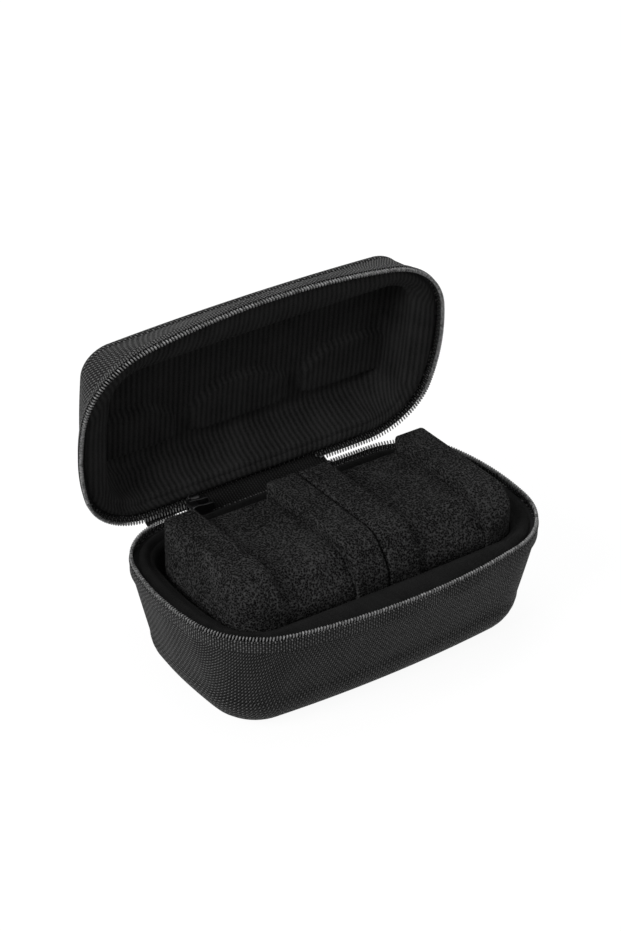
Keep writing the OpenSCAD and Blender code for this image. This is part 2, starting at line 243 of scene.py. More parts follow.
def rounded(corners, radii, arc_steps=12, spacing=1.2):
    """Closed outline with rounded corners, in even steps: each corner is cut back by r / tan(half its angle)
    and joined by an arc."""
    corners = np.array(corners, float)
    out = []
    for p, q, r, radius in zip(np.roll(corners, 1, 0), corners, np.roll(corners, -1, 0), radii):
        a, b = (p - q) / np.linalg.norm(p - q), (r - q) / np.linalg.norm(r - q)
        half = math.acos(np.clip(a @ b, -1, 1)) / 2
        centre = q + (a + b) / np.linalg.norm(a + b) * radius / math.sin(half)
        start = q + a * radius / math.tan(half) - centre
        end = q + b * radius / math.tan(half) - centre
        t = np.linspace(0, 1, arc_steps)[:, None]
        w = math.acos(np.clip(start @ end / radius**2, -1, 1))
        out.append(centre + (np.sin((1 - t) * w) * start + np.sin(t * w) * end) / math.sin(w))
    path = np.vstack([*out, out[0][:1]])
    far = distances(path)
    even_far = np.linspace(0, far[-1], int(far[-1] / spacing), endpoint=False)
    return np.stack([np.interp(even_far, far, path[:, k]) for k in (0, 1)], 1)


def quarter(a, b, long_bow, end_bow, corner, grow, counts):
    """Quarter plan made of three arcs that meet smoothly: end arc, corner arc and side arc.
    The side arc's radius is (a * a + bow * bow) / (2 * bow). Gives points and outward normals."""
    r1 = (a * a + long_bow**2) / (2 * long_bow)
    r2 = (b * b + end_bow**2) / (2 * end_bow)
    c1 = np.array([0.0, b - r1])
    c2 = np.array([a - r2, 0.0])
    gap = np.linalg.norm(c2 - c1)
    s1, s2 = r1 - corner, r2 - corner
    along = (s1 * s1 - s2 * s2 + gap * gap) / (2 * gap)
    u = (c2 - c1) / gap
    c = c1 + u * along + np.array([u[1], -u[0]]) * math.sqrt(s1 * s1 - along * along)
    t2 = math.atan2(c[1] - c2[1], c[0] - c2[0])
    t1 = math.atan2(c[1] - c1[1], c[0] - c1[0])
    arcs = ((c2, r2, 0, t2), (c, corner, t2, t1), (c1, r1, t1, math.pi / 2))
    angle = np.concatenate([np.linspace(e[2], e[3], n, endpoint=False) for e, n in zip(arcs, counts)])
    centre = np.concatenate([np.tile(e[0], (n, 1)) for e, n in zip(arcs, counts)])
    radius = np.concatenate([np.full(n, e[1] + grow) for e, n in zip(arcs, counts)])
    angle = np.append(angle, math.pi / 2)
    centre = np.vstack([centre, c1])
    radius = np.append(radius, r1 + grow)
    normal = np.stack([np.cos(angle), np.sin(angle)], 1)
    return centre + normal * radius[:, None], normal


def outline(front, back, grow, counts=(20, 34, 30)):
    """Closed plan from two quarters, each mirrored in x, counter-clockwise from the right end."""
    f, fn = quarter(*front, grow, counts)
    b, bn = quarter(*back, grow, counts)
    flip_x, flip_y = np.array([-1, 1]), np.array([1, -1])
    points = np.vstack([b[:-1], (b * flip_x)[:0:-1], -f[:-1], (f * flip_y)[:0:-1]])
    normals = np.vstack([bn[:-1], (bn * flip_x)[:0:-1], -fn[:-1], (fn * flip_y)[:0:-1]])
    return points, normals


def rim(grow):
    """Outline of the zip line, moved out by grow."""
    return outline(FRONT, BACK, grow)[0]


def even(plan, grow):
    """Outline with the same plan at the front and the back, moved out by grow."""
    return outline(plan, plan, grow)[0]


def mouth(lid, grow):
    """Outline of one half's mouth, moved out by grow."""
    return outline(*(LID_MOUTH if lid else BASE_MOUTH), grow)[0]


RIM_NORMALS = outline(FRONT, BACK, 0)[1]


def zip_line():
    """The teeth line as distances, places and normals, clockwise from the middle of the hinge side."""
    points, normals = outline(FRONT, BACK, 0, (120, 200, 160))
    first = int(np.argmin(np.hypot(points[:, 0], points[:, 1] - BACK_HALF)))
    points, normals = (np.roll(p, -first, 0)[::-1] for p in (points, normals))
    points, normals = (np.vstack([p[-1:], p]) for p in (points, normals))
    return distances(points), points, normals


ZIP_FAR, ZIP_POINTS, ZIP_NORMALS = zip_line()
ZIP_LENGTH = float(ZIP_FAR[-1])


def on_zip(far):
    """Places and normals at distances along the teeth line."""
    place = np.stack([np.interp(far, ZIP_FAR, ZIP_POINTS[:, k]) for k in (0, 1)], -1)
    normal = np.stack([np.interp(far, ZIP_FAR, ZIP_NORMALS[:, k]) for k in (0, 1)], -1)
    return place, normal / np.linalg.norm(normal, axis=-1, keepdims=True)


# ---------------------------------------------------------------- placing

def turned(points, angle):
    """Points turned about the fold line by Rodrigues' formula: the arm times cos, plus the axis crossed
    with the arm times sin, plus the arm's part along the axis times (1 - cos)."""
    arm = points - FOLD
    along = (arm @ FOLD_AXIS)[..., None] * FOLD_AXIS
    crossed = np.cross(FOLD_AXIS, arm)
    return FOLD + arm * np.cos(angle) + crossed * np.sin(angle) + along * (1 - np.cos(angle))


def placed(lid, points):
    """Points of one half, drawn below the zip's plane: the lid's are turned over and opened about the fold,
    and both are lifted so that the foot stands at height 0."""
    if lid:
        points = turned(points * np.array([1, 1, -1]), math.radians(-OPEN_ANGLE))
    return points + np.array([0, 0, BASE_DEPTH])


# ---------------------------------------------------------------- meshes

def build(name, points, faces, uv=None, finish=None, sharp=40.0, flip=False):
    """Mesh object from an array of points in millimetres and arrays of quads and triangles.
    uv has one pair for each corner of the faces, in their order."""
    faces = [np.asarray(f) for f in faces]
    if flip:
        faces = [f[:, ::-1] for f in faces]
        if uv is not None:
            uv = [u[:, ::-1] for u in uv]
    mesh = bpy.data.meshes.new(name)
    corners = np.concatenate([f.ravel() for f in faces]).astype(np.int32)
    counts = np.concatenate([np.full(len(f), f.shape[1]) for f in faces])
    starts = np.concatenate([[0], np.cumsum(counts)[:-1]]).astype(np.int32)
    mesh.vertices.add(len(points))
    mesh.vertices.foreach_set("co", (np.asarray(points, float) * MM).ravel())
    mesh.loops.add(len(corners))
    mesh.loops.foreach_set("vertex_index", corners)
    mesh.polygons.add(len(starts))
    mesh.polygons.foreach_set("loop_start", starts)
    mesh.update(calc_edges=True)
    mesh.polygons.foreach_set("use_smooth", np.ones(len(starts), bool))
    if uv is not None:
        layer = mesh.uv_layers.new(name="cloth")
        layer.data.foreach_set("uv", np.concatenate([u.reshape(-1) for u in uv]).astype(np.float32))
    if sharp:
        mesh.set_sharp_from_angle(angle=math.radians(sharp))
    obj = bpy.data.objects.new(name, mesh)
    bpy.context.scene.collection.objects.link(obj)
    mesh.materials.append(finish)
    return obj


def lattice(rows, columns, wrap_rows=False, wrap_columns=True):
    """Quads between neighbours on a grid of rows and columns."""
    r = np.arange(rows if wrap_rows else rows - 1)
    c = np.arange(columns if wrap_columns else columns - 1)
    i, j = np.meshgrid(r, c, indexing="ij")
    i2, j2 = (i + 1) % rows, (j + 1) % columns
    corners = [i * columns + j, i * columns + j2, i2 * columns + j2, i2 * columns + j]
    return np.stack(corners, -1).reshape(-1, 4)


def grid_uv(values):
    """Corner pairs for lattice(), from values on its grid with the first column repeated at the end."""
    corners = [values[:-1, :-1], values[:-1, 1:], values[1:, 1:], values[1:, :-1]]
    return np.stack(corners, 2).reshape(-1, 4, 2)


def fan(ring, centre, up):
    """Triangles from a ring of indices to a centre point."""
    after = np.roll(ring, -1)
    order = (ring, after) if up else (after, ring)
    return np.stack([order[0], order[1], np.full(len(ring), centre)], 1)


def end_fans(rows, columns):
    """Fans that close a lattice's first and last ring, to the two points that follow its grid."""
    ring, count = np.arange(columns), rows * columns
    return np.vstack([fan(ring, count, False), fan(count - columns + ring, count + 1, True)])


def joined(parts):
    """Points, quads and triangles of several closed forms as one set."""
    points, quads, tris = zip(*parts)
    starts = np.cumsum([0] + [len(p) for p in points])
    quads, tris = (np.vstack([f + start for f, start in zip(faces, starts)]) for faces in (quads, tris))
    return np.vstack(points), quads, tris


def shell_piece(name, rings, values, lid, finish):
    """Closed skin through rings from one flat floor to the other, both closed with a fan.
    values holds the cloth coordinates of each ring, with the first column repeated."""
    rows, columns = rings.shape[:2]
    points = np.vstack([rings.reshape(-1, 3), rings[0].mean(0), rings[-1].mean(0)])
    near, far = values[0], values[-1]
    near_middle, far_middle = (np.tile(v[:-1].mean(0), (columns, 1)) for v in (near, far))
    caps = [np.stack([near[1:], near[:-1], near_middle], 1), np.stack([far[:-1], far[1:], far_middle], 1)]
    faces = [lattice(rows, columns), end_fans(rows, columns)]
    return build(name, placed(lid, points), faces, [grid_uv(values), np.concatenate(caps)], finish, flip=lid)


# ---------------------------------------------------------------- body skins

def level(plan, z):
    """A plan's points, all at height z."""
    return np.column_stack([plan, np.full(len(plan), z)])


def skin(depth, band, low, fillet, ease, upper, t, rounds=10, walls=26):
    """Rings of a moulded skin from its floor to the band at the rim. The plan runs from upper(grow) at the
    rim to the low outline by the share ((z - band) / (depth - band)) ** ease, and a quarter circle rounds
    the bottom edge. t is the distance inside the outer skin."""
    knee = ((depth - fillet - band) / (depth - band)) ** ease
    rings = []
    for u in np.radians(np.linspace(90, 0, rounds, endpoint=False)):
        d = t + (fillet - t) * (1 - math.cos(u))
        height = -(depth - fillet + (fillet - t) * math.sin(u))
        rings.append(level(mixed(upper(-d), even(low, -d), knee), height))
    for f in np.linspace(0, 1, walls):
        z = mixed(depth - fillet, band, f)
        share = max((z - band) / (depth - band), 0) ** ease
        rings.append(level(mixed(upper(-t), even(low, -t), share), -z))
    return rings


def outer(lid, t):
    """Rings of the outside, t inside the cover's face, up to the step behind the tape. The lid's walls start
    BAND_LEAN further in than its rim, at the lower edge of the leaning band."""
    if lid:
        rings = skin(LID_DEPTH, LID_BAND, TOP, TOP_FILLET, WALL_EASE, lambda grow: rim(grow - BAND_LEAN), t)
        return rings + [level(rim(-BAND_LEAN / 2 - t), -RIM_SETBACK)]
    rings = skin(BASE_DEPTH, BAND_HEIGHT, FLOOR, FLOOR_FILLET, WALL_EASE, rim, t)
    return rings + [level(rim(-t), -RIM_SETBACK)]


def lip(lid, t):
    """The padded lip from the mouth's edge out to the groove behind the teeth: a quarter circle over the
    edge, a flat crown of height LIP_CROWN * 4 * s * (1 - s), and a rounded step down into the groove."""
    rings = []
    for u in np.radians(np.linspace(0, 90, 7)):
        plan = mouth(lid, LIP_ROUND - (LIP_ROUND + t) * math.cos(u))
        rings.append(level(plan, -LIP_EDGE - LIP_ROUND + (LIP_ROUND + t) * math.sin(u)))
    edge, groove = mouth(lid, LIP_ROUND), rim(-LEDGE_IN - STEP_WIDTH)
    for s in np.linspace(0, 1, 12)[1:]:
        z = -LIP_EDGE + (LIP_EDGE - LIP_RIM) * s + LIP_CROWN * 4 * s * (1 - s)
        rings.append(level(mixed(edge, groove, s), z + t))
    low = -RIM_SETBACK - LIP_STEP
    for u in np.radians((30, 60, 90)):
        step = rim(-LEDGE_IN - STEP_WIDTH + STEP_WIDTH * math.sin(u))
        rings.append(level(step, low + t + (-LIP_RIM - low) * math.cos(u)))
    return rings


def inner(lid, t):
    """Rings of the inside, t in front of the shell's face: the wall up to the mouth, then the lip."""
    if lid:
        form = (LID_DEPTH - WALL, WALL_TOP, PANEL, LID_FILLET, LID_EASE)
    else:
        form = (BASE_DEPTH - WALL, WALL_TOP, CAVITY, FLOOR_FILLET - WALL, 1.0)
    return skin(*form, partial(mouth, lid), t) + lip(lid, t)


def drawn_cloth(rings, outward):
    """Cloth coordinates of a flat sheet drawn over the form: plan place of the first ring
    plus its outward normal times the distance up the wall, in metres."""
    step = np.linalg.norm(np.diff(rings, axis=0), axis=2)
    far = np.vstack([np.zeros(rings.shape[1]), np.cumsum(step, 0)])
    flat = rings[0][:, :2] + outward[None] * far[..., None]
    return np.concatenate([flat, flat[:, :1]], 1) * MM


# ---------------------------------------------------------------- materials

def node(tree, kind, values=(), stops=(), **settings):
    """Adds a shader node, with its settings and colour stops, and sets or links its inputs. values is a dict,
    or a tuple in the inputs' order, and a node in it stands for its first output."""
    made = tree.nodes.new("ShaderNode" + kind)
    for key, value in settings.items():
        setattr(made, key, value)
    for key, value in values.items() if isinstance(values, dict) else enumerate(values):
        source = value.outputs[0] if isinstance(value, bpy.types.Node) else value
        if isinstance(source, bpy.types.NodeSocket):
            tree.links.new(source, made.inputs[key])
        else:
            made.inputs[key].default_value = source
    if stops:
        ramp = made.color_ramp.elements
        ramp[0].position, ramp[0].color = stops[0]
        ramp[1].position, ramp[1].color = stops[-1]
        for place, colour in stops[1:-1]:
            ramp.new(place).color = colour
    return made


def blank(name):
    """A new material without nodes, and the function that adds nodes to it."""
    made = bpy.data.materials.new(name)
    made.use_nodes = True
    made.node_tree.nodes.clear()
    return made, partial(node, made.node_tree)


def finished(add, colour, rough, height, depth, strength, sockets):
    """Ends a material with its surface, and a relief of that height, depth in metres and strength."""
    bump = add("Bump", {"Height": height, "Distance": depth, "Strength": strength})
    surface = add("BsdfPrincipled", {"Base Color": colour, "Roughness": rough, "Normal": bump, **sockets})
    add("OutputMaterial", {"Surface": surface})


def weave(add, u, v):
    """Plain weave: each thread is a round hump, |sin(pi * across)|, that dips under its neighbours in turn,
    times 0.62 + 0.38 * cos(pi * (along + floor(across))). Gives the height of the higher thread, and how far
    the warp stands above the weft."""
    def thread(across, along):
        turn = add("Math", (across, math.pi), operation="MULTIPLY")
        wave = add("Math", (turn,), operation="SINE")
        hump = add("Math", (wave,), operation="ABSOLUTE")
        number = add("Math", (across,), operation="FLOOR")
        place = add("Math", (along, number), operation="ADD")
        phase = add("Math", (place, math.pi), operation="MULTIPLY")
        swing = add("Math", (phase,), operation="COSINE")
        dip = add("Math", (swing, 0.38, 0.62), operation="MULTIPLY_ADD")
        return add("Math", (hump, dip), operation="MULTIPLY")
    warp = thread(u, add("Math", (v, 0.5), operation="ADD"))
    weft = thread(v, add("Math", (u, 1.5), operation="ADD"))
    return add("Math", (warp, weft), operation="MAXIMUM"), add("Math", (warp, weft), operation="SUBTRACT")


# Noise scales are counts per metre: 1900 puts a grain every 0.53 mm, and 55 a patch every 18 mm.

def woven_nylon(name, gap, dark, light, pitch, across, depth):
    """Woven synthetic cloth: round yarns that catch soft light on top and go black between, painted into the
    colour from the weave's height: painted highlight on the crowns, painted shade in the gaps. The weft lies
    a little deeper than the warp and is painted darker, as painted shade."""
    made, add = blank(name)
    place = add("UVMap", uv_map="cloth")
    wander = add("TexNoise", {"Vector": place, "Scale": 160.0, "Detail": 2.0}, noise_dimensions="2D")
    broad = add("TexNoise", {"Vector": place, "Scale": 55.0, "Detail": 4.0}, noise_dimensions="2D")
    fibre = add("TexNoise", {"Vector": place, "Scale": 1900.0, "Detail": 2.0}, noise_dimensions="2D")
    parts = add("SeparateXYZ", (place,))
    shift = add("Math", (wander, 0.6, -0.3), operation="MULTIPLY_ADD")
    u = add("Math", (parts.outputs[0], 1 / pitch, shift), operation="MULTIPLY_ADD")
    v = add("Math", (parts.outputs[1], 1 / across, shift), operation="MULTIPLY_ADD")
    height, over = weave(add, u, v)
    hairy = add("Math", (fibre, 0.3, height), operation="MULTIPLY_ADD")
    # Painted shade: the tone rises where the warp stands above the weft, so the deeper weft is painted
    # darker.
    crossed = add("Math", (over, 0.3, hairy), operation="MULTIPLY_ADD")
    lowered = add("Math", (crossed, 0.3), operation="SUBTRACT")
    tone = add("Math", (broad, 0.3, lowered), operation="MULTIPLY_ADD")
    # gap is painted shade between the yarns, and light is a painted highlight on their crowns.
    stops = [(0.38, linear(gap)), (0.62, linear(dark)), (0.92, linear(light))]
    rough = add("Math", (height, -0.2, 0.75), operation="MULTIPLY_ADD")
    finished(add, add("ValToRGB", (tone,), stops), rough, height, depth, 1.0, {"Specular IOR Level": 0.1})
    return made


def fleece(name, dark, light, rib, rib_depth, grain):
    """Short brushed pile: dull, with faint ribs where it is knitted and a fine grain of fibre ends."""
    made, add = blank(name)
    place = add("UVMap", uv_map="cloth")
    pile = add("TexNoise", {"Vector": place, "Scale": grain, "Detail": 4.0, "Roughness": 0.65},
               noise_dimensions="2D")
    patch = add("TexNoise", {"Vector": place, "Scale": 70.0, "Detail": 3.0}, noise_dimensions="2D")
    drift = add("TexNoise", {"Vector": place, "Scale": 22.0, "Detail": 1.0}, noise_dimensions="2D")
    parts = add("SeparateXYZ", (place,))
    wobble = add("Math", (drift, 2.0), operation="MULTIPLY")
    turn = add("Math", (parts.outputs[0], 2 * math.pi / rib, wobble), operation="MULTIPLY_ADD")
    wave = add("Math", (turn,), operation="SINE")
    lifted = add("Math", (wave, 0.5, 0.5), operation="MULTIPLY_ADD")
    ribs = add("Math", (lifted, rib_depth), operation="MULTIPLY")
    height = add("Math", (pile, ribs), operation="ADD")
    shade = add("Math", (height, 0.6), operation="MULTIPLY")
    tone = add("Math", (patch, 0.35, shade), operation="MULTIPLY_ADD")
    colour = add("ValToRGB", (tone,), [(0.25, linear(dark)), (0.85, linear(light))])
    finished(add, colour, 0.95, height, 0.0005, 0.8, {"Specular IOR Level": 0.05, "Sheen Weight": 0.015})
    return made


def open_foam(name, dark, light, cell):
    """Cut open-cell foam: a fine speckle of black pits between bright cell edges, dull all over. The pits are
    painted black as painted shade and the cell edges light as painted highlight.
    """
    made, add = blank(name)
    place = add("TexCoord").outputs["Object"]
    cells = add("TexVoronoi", {"Vector": place, "Scale": 1 / cell, "Randomness": 1.0})
    grain = add("TexNoise", {"Vector": place, "Scale": 0.9 / cell, "Detail": 4.0, "Roughness": 0.7})
    patch = add("TexNoise", {"Vector": place, "Scale": 60.0, "Detail": 2.0})
    height = add("Math", (grain, 1.2, cells.outputs["Distance"]), operation="MULTIPLY_ADD")
    shade = add("Math", (height, 0.62), operation="MULTIPLY")
    tone = add("Math", (patch, 0.2, shade), operation="MULTIPLY_ADD")
    # The darkest stop is painted shade in the pits, and light is a painted highlight on the cell edges.
    stops = [(0.44, linear("#020202")), (0.66, linear(dark)), (1.0, linear(light))]
    finished(add, add("ValToRGB", (tone,), stops), 0.9, height, 0.0007, 1.0, {"Specular IOR Level": 0.05})
    return made


def coil_nylon(name, tint):
    """Nylon monofilament coil: smooth black bars with a soft highlight painted into their colour, as patches
    of light grey.
    """
    made, add = blank(name)
    place = add("TexCoord").outputs["Object"]
    glint_noise = add("TexNoise", {"Vector": place, "Scale": 900.0, "Detail": 2.0})
    # Painted highlight: the black nylon runs to the light grey tint where the noise is high.
    colour = add("ValToRGB", (glint_noise,), [(0.3, linear("#0c0c0c")), (0.75, linear(tint))])
    rough = add("Math", (glint_noise, 0.2, 0.3), operation="MULTIPLY_ADD")
    finished(add, colour, rough, glint_noise, 0.00003, 0.5, {"IOR": 1.53})
    return made


def painted_zinc(name, tint):
    """Die-cast zinc under black paint: satin, with slightly rubbed edges."""
    made, add = blank(name)
    place = add("TexCoord").outputs["Object"]
    grain = add("TexNoise", {"Vector": place, "Scale": 700.0, "Detail": 4.0})
    edge = add("NewGeometry").outputs["Pointiness"]
    rubbed = add("ValToRGB", (edge,), [(0.52, linear(tint)), (0.62, linear("#5a5a5c"))])
    rough = add("Math", (grain, 0.25, 0.25), operation="MULTIPLY_ADD")
    finished(add, rubbed, rough, grain, 0.00004, 0.5, {"Metallic": 0.6, "Coat Weight": 0.3})
    return made


def moulded_foam(name, tint):
    """Closed-cell moulded foam sheet, seen only at its cut edge: matt with fine cells."""
    made, add = blank(name)
    place = add("TexCoord").outputs["Object"]
    cells = add("TexNoise", {"Vector": place, "Scale": 1500.0, "Detail": 3.0})
    colour = add("ValToRGB", (cells,), [(0.3, linear("#0a0a0a")), (0.8, linear(tint))])
    finished(add, colour, 0.85, cells, 0.0001, 0.5, {"Specular IOR Level": 0.2})
    return made


MATERIALS = {}


def material(key):
    """The case's finishes, each made once."""
    s = bpy.context.scene.watch_case
    makers = {
        # Heavy woven nylon bonded to the shell, round yarns 1.35 mm apart that show as bright dots: a painted
        # highlight on their crowns, with painted shade between them.
        "cover": lambda: woven_nylon("woven nylon cover", "#020202", s.cover_colour, s.cover_light,
                                     s.weave_pitch, s.weave_pitch, 0.0009),
        # Zip tape: a finer weave, whose 0.5 mm yarns are drawn 1.1 and 0.9 mm apart so that they show, with
        # painted highlight and shade like the cover's.
        "tape": lambda: woven_nylon("woven zip tape", "#040404", "#282828", "#707070",
                                    0.0011, 0.0009, 0.0004),
        # Hinge strip: ribbed webbing, dark and close, with ribs 1.2 mm apart, painted lighter on top and
        # darker between as painted highlight and shade.
        "webbing": lambda: woven_nylon("ribbed hinge webbing", "#050505", "#191919", "#303030",
                                       0.0012, 0.0007, 0.0003),
        # Brushed knit on the lid, whose ribs, 2.4 mm apart, shade it in soft stripes.
        "lid_fleece": lambda: fleece("ribbed brushed knit", "#0f0f0f", "#3e3e3e", s.rib_spacing, 0.5, 1400.0),
        # Velvet in the base, deep black and all but smooth.
        "base_fleece": lambda: fleece("short pile velvet", "#060606", "#242424", 0.004, 0.06, 1500.0),
        # Pillows: cut foam that looks like coarse black sand.
        "foam": lambda: open_foam("open cell foam", s.foam_colour, s.foam_light, s.foam_cell),
        # Coil: its turns shine as short grey dashes, a highlight painted into the black nylon's colour.
        "coil": lambda: coil_nylon("nylon coil", "#a8a8a8"),
        # Slider, pull and end stops: a dull black gleam.
        "zinc": lambda: painted_zinc("black painted zinc", "#1a1a1b"),
        # Shell: matt black, all but hidden between cover and lining.
        "shell": lambda: moulded_foam("moulded foam shell", "#1c1c1d"),
    }
    if key not in MATERIALS:
        MATERIALS[key] = makers[key]()
    return MATERIALS[key]


def dress(obj, slot, body, *nodes):
    """Hides the CAD nodes that a piece replaces and hangs the piece on the empty of the body it rides on. Its
    material slot is not used.
    """
    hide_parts(*nodes)
    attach(obj, body)


# ---------------------------------------------------------------- cover, shell and lining

def smooth_max(*parts):
    """Rounded maximum: RELIEF_SOFT * log(sum(exp(part / RELIEF_SOFT)))."""
    return RELIEF_SOFT * np.log(sum(np.exp(p / RELIEF_SOFT) for p in parts))


def relief_rise(x, y):
    """Height of the three reliefs: a smooth step over the edge of each one's outline, which is the rounded
    maximum of the distances past its ends, its front, its slanted front corners and its back."""
    rise = np.zeros_like(x)
    for k in (-1, 0, 1):
        end = np.abs(x - RELIEF_SHIFT - k * RELIEF_PITCH) - RELIEF_HALF
        front = RELIEF_FRONT - y
        corner = (end + RELIEF_CUT - (y - RELIEF_FRONT) * RELIEF_CUT / RELIEF_RISE) * RELIEF_SLANT
        past = smooth_max(end, front, corner, y - RELIEF_BACK)
        rise = np.maximum(rise, smooth_step((RELIEF_SKIRT - past) / RELIEF_SLOPE))
    return rise * RELIEF_HEIGHT


def relieved(rings):
    """The lid's inner skin with its flat panel filled by rings that shrink to the middle, and the reliefs
    raised on them and, less by the square of the height, on the rounded edge."""
    floor = rings[0]
    middle = np.append(floor[:, :2].mean(0), floor[0, 2])
    shares = np.linspace(0.02, 1, PANEL_RINGS, endpoint=False)
    rings = np.concatenate([np.array([middle + (floor - middle) * share for share in shares]), rings])
    up = np.clip((rings[..., 2] - floor[0, 2]) / LID_FILLET, 0, 1)
    rings[..., 2] += relief_rise(rings[..., 0], rings[..., 1]) * (1 - up) ** 2
    return rings


def body_pieces(lid):
    """Cover, foam shell and lining of one half, each a closed skin between two lofts."""
    side = "lid" if lid else "base"
    outside = np.array(outer(lid, 0))
    under = np.array(outer(lid, COVER_THICK))
    cloth = drawn_cloth(outside, RIM_NORMALS)
    hollow = np.array(inner(lid, 0))
    lined = np.array(inner(lid, LINING_THICK))
    pile = drawn_cloth(lined, RIM_NORMALS)
    if lid:
        hollow, lined = relieved(hollow), relieved(lined)
        panel = lined[:PANEL_RINGS, :, :2] * MM
        pile = np.concatenate([np.concatenate([panel, panel[:, :1]], 1), pile])
    cover = shell_piece(side + "_cover_cloth", np.concatenate([outside, under[::-1]]),
                        np.concatenate([cloth, cloth[::-1]]), lid, material("cover"))
    dress(cover, "woven_cover", side, side + "_cover")
    edge = np.array([level(rim(-LEDGE_IN), -RIM_SETBACK)])
    shell = shell_piece(side + "_foam_shell", np.concatenate([under, edge, hollow[::-1]]),
                        np.concatenate([cloth, cloth[-1:], pile[::-1]]), lid, material("shell"))
    dress(shell, "foam_shell", side, side + "_shell")
    lining = shell_piece(side + "_fleece_lining", np.concatenate([hollow, lined[::-1]]),
                         np.concatenate([pile, pile[::-1]]), lid, material(side + "_fleece"))
    dress(lining, side + "_lining", side, side + "_lining")


# ---------------------------------------------------------------- zip

def tape_profile(low, lean):
    """The zip tape's cross-section as (out, up) points, with the distance round it: a flat band with a small
    round cord along its top edge. The band leans in by lean at its lower edge."""
    turn = np.radians(np.linspace(-60, 160, 12))
    cord = np.array([TAPE_THICK - CORD_IN, -TAPE_GAP - CORD_DOWN])
    cord = cord + TAPE_CORD * np.stack([np.cos(turn), np.sin(turn)], 1)
    foot = np.array([[0.0, -low], [TAPE_THICK - TAPE_BEVEL, -low]])
    heights = np.linspace(-low + TAPE_BEVEL, -TAPE_GAP - 2 * CORD_DOWN, 10)
    face = np.stack([np.full(10, TAPE_THICK), heights], 1)
    back = np.stack([np.zeros(8), np.linspace(-TAPE_GAP - 0.1, -low, 8, endpoint=False)], 1)
    profile = np.vstack([foot, face, cord, back])
    profile[:, 0] -= lean * np.clip((-profile[:, 1] - TAPE_GAP) / (low - TAPE_GAP), 0, 1)
    return profile, distances(np.vstack([profile, profile[:1]]))


def zip_tape(name, lid):
    """The tape's cross-section carried along the zip line, with closed ends. Its cloth coordinates are the
    distance along the zip and the distance round the section."""
    profile, around = tape_profile((LID_BAND if lid else BAND_HEIGHT) + TAPE_UNDER, BAND_LEAN if lid else 0)
    far = np.linspace(TAPE_START, ZIP_LENGTH - TAPE_START, TAPE_STEPS)
    spot, normal = on_zip(far)
    rows, columns = len(far), len(profile)
    xy = spot[:, None] + normal[:, None] * profile[None, :, :1]
    z = np.broadcast_to(profile[None, :, 1:], (rows, columns, 1))
    points = np.concatenate([xy, z], 2).reshape(-1, 3)
    points = np.vstack([points, points[:columns].mean(0), points[-columns:].mean(0)])
    u, v = np.broadcast_arrays(far[:, None], around[None])
    uv = [grid_uv(np.stack([u, v], 2) * MM), np.zeros((2 * columns, 3, 2))]
    faces = [lattice(rows, columns), end_fans(rows, columns)]
    return build(name, placed(lid, points), faces, uv, material("tape"), flip=not lid)


def turn_form():
    """One turn of the coil as a rounded bar of unit size: a superellipsoid, the sphere whose sines and
    cosines are raised to TURN_POWER, with closed poles."""
    def eased(value):
        return np.sign(value) * np.abs(value) ** TURN_POWER
    lat = np.radians(np.linspace(-90, 90, 7))[1:-1]
    lon = np.radians(np.arange(0, 360, 36))
    flat = eased(np.cos(lat))[:, None]
    x, y = flat * eased(np.cos(lon)), flat * eased(np.sin(lon))
    z = np.broadcast_to(eased(np.sin(lat))[:, None], x.shape)
    points = np.vstack([np.stack([x, y, z], 2).reshape(-1, 3), [[0, 0, -1], [0, 0, 1]]])
    return points, lattice(*x.shape), end_fans(*x.shape)


def coil(name, lid, pitch):
    """One turn set upright at every pitch along the zip, facing along its normal and leaning along it.
    The lid's turns start half a pitch later than the base's, so that they mesh."""
    first = ZIP_START + STOP_LENGTH + (0.9 if lid else 0.4) * pitch
    form, quads, tris = turn_form()
    form = form * np.array([TURN_HALF_WIDTH, TURN_HALF_WIRE, (TAPE_GAP + TURN_REACH) / 2])
    form[:, 1] += TURN_SLANT * form[:, 2]
    spot, normal = on_zip(np.arange(first, ZIP_LENGTH - ZIP_START, pitch))
    along = np.stack([-normal[:, 1], normal[:, 0]], 1)
    xy = spot[:, None] + normal[:, None] * form[None, :, :1] + along[:, None] * form[None, :, 1:2]
    z = np.broadcast_to(form[None, :, 2:] + (TURN_REACH - TAPE_GAP) / 2, (len(spot), len(form), 1))
    points = np.concatenate([xy, z], 2).reshape(-1, 3)
    start = (np.arange(len(spot)) * len(form))[:, None, None]
    faces = [(quads[None] + start).reshape(-1, 4), (tris[None] + start).reshape(-1, 3)]
    return build(name, placed(lid, points), faces, None, material("coil"), sharp=0, flip=not lid)


def end_stop(name, lid):
    """The clamped stop at the zip's end: one rounded block, the coil's turn made larger."""
    form, quads, tris = turn_form()
    centre = np.array([ZIP_START + STOP_LENGTH / 2, BACK_HALF, -TAPE_GAP / 2 - STOP_DOWN])
    points = form * np.array([STOP_LENGTH / 2, STOP_HALF, TAPE_GAP / 2]) + centre
    return build(name, placed(lid, points), [quads, tris], None, material("zinc"), sharp=0, flip=lid)


# ---------------------------------------------------------------- hinge strip

def hinge_path():
    """The strip's middle line of the closed case, as (out, up) points, and its length: up the base's wall,
    over the fold and onto the lid's wall. Chords between the knots in even steps, then averaged with their
    neighbours 30 times."""
    knots = np.array([
        [47.85, -12.4], [48.75, -9.5], [49.45, -7.6], [50.0, -6.1], [49.95, -3.0], [49.75, 0.5],
        [49.4, 3.4], [48.6, 5.6], [47.55, 8.6], [46.6, 12.3],
    ])
    far = distances(knots)
    t = np.linspace(0, far[-1], HINGE_STEPS)
    path = np.stack([np.interp(t, far, knots[:, k]) for k in (0, 1)], 1)
    for _ in range(30):
        path[1:-1] = (path[:-2] + 2 * path[1:-1] + path[2:]) / 4
    return path, far[-1]


